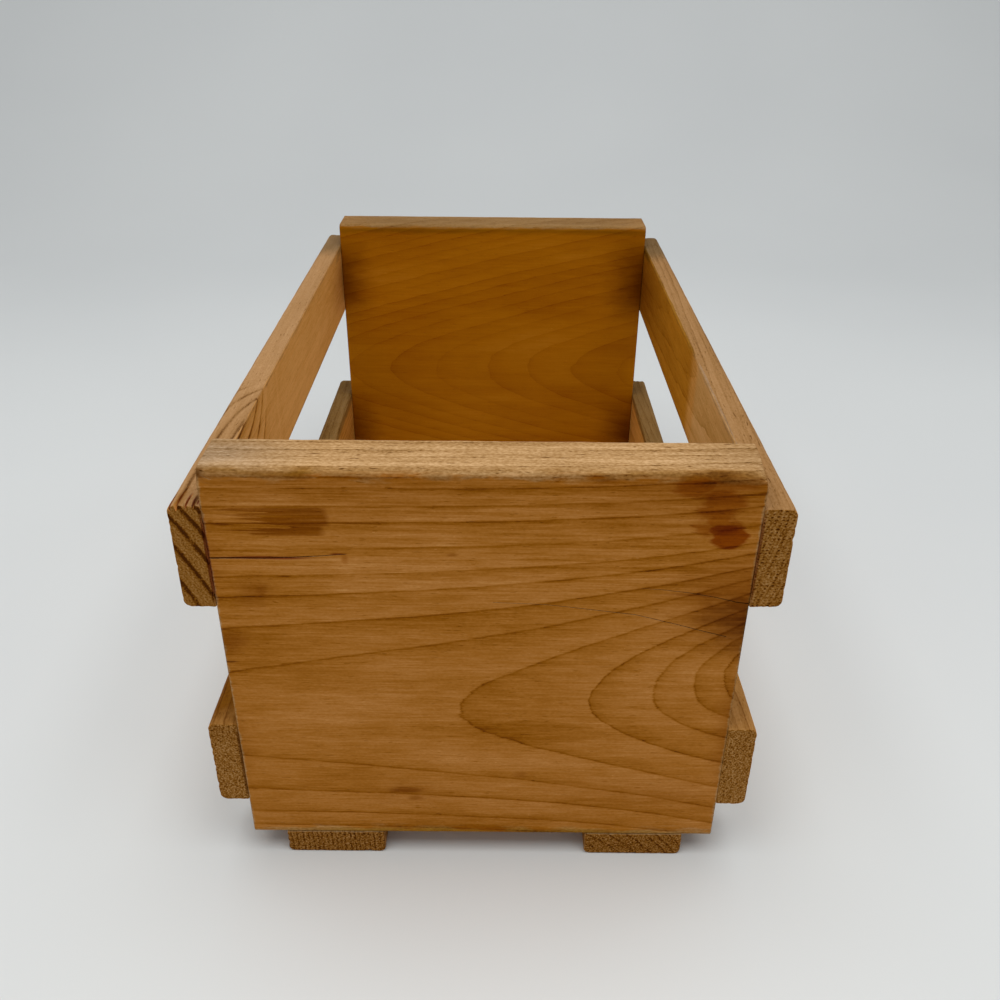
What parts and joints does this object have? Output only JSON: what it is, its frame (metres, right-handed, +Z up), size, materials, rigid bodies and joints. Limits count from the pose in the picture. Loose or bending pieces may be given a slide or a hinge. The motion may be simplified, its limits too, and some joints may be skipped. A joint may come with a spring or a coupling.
{
  "type": "wooden crate",
  "caption": "Open slatted wooden crate with solid end boards, side slats and bottom runners, for keeping discs, cards or small things upright on a shelf.",
  "frame": {"origin": "on the surface that the crate stands on, under the middle of its outer box", "axes": "+X to the right as seen from the front board, +Y from the front board to the rear board, +Z up"},
  "size_m": [0.1746, 0.2842, 0.1492],
  "materials": {
    "front_board_wood": "aged clear varnish on planed softwood, warm orange brown, satin",
    "rear_board_wood": "aged clear varnish on planed softwood, deep amber brown, satin",
    "slat_wood": "aged clear varnish on planed softwood with sawn, unsealed ends",
    "runner_wood": "thinly varnished softwood, worn on the underside",
    "staple_wire": "galvanised flat wire, dulled"
  },
  "bodies": {
    "root": {"front_end_board": "front_board_wood", "rear_end_board": "rear_board_wood", "upper_left_slat": "slat_wood", "upper_right_slat": "slat_wood", "lower_left_slat": "slat_wood", "lower_right_slat": "slat_wood", "left_runner": "runner_wood", "right_runner": "runner_wood", "upper_left_slat_front_staple_a": "staple_wire", "upper_left_slat_front_staple_b": "staple_wire", "upper_left_slat_rear_staple_a": "staple_wire", "upper_left_slat_rear_staple_b": "staple_wire", "upper_right_slat_front_staple_a": "staple_wire", "upper_right_slat_front_staple_b": "staple_wire", "upper_right_slat_rear_staple_a": "staple_wire", "upper_right_slat_rear_staple_b": "staple_wire", "lower_left_slat_front_staple_a": "staple_wire", "lower_left_slat_front_staple_b": "staple_wire", "lower_left_slat_rear_staple_a": "staple_wire", "lower_left_slat_rear_staple_b": "staple_wire", "lower_right_slat_front_staple_a": "staple_wire", "lower_right_slat_front_staple_b": "staple_wire", "lower_right_slat_rear_staple_a": "staple_wire", "lower_right_slat_rear_staple_b": "staple_wire", "left_runner_front_staple_a": "staple_wire", "left_runner_front_staple_b": "staple_wire", "left_runner_rear_staple_a": "staple_wire", "left_runner_rear_staple_b": "staple_wire", "right_runner_front_staple_a": "staple_wire", "right_runner_front_staple_b": "staple_wire", "right_runner_rear_staple_a": "staple_wire", "right_runner_rear_staple_b": "staple_wire"}
  },
  "joints": []
}
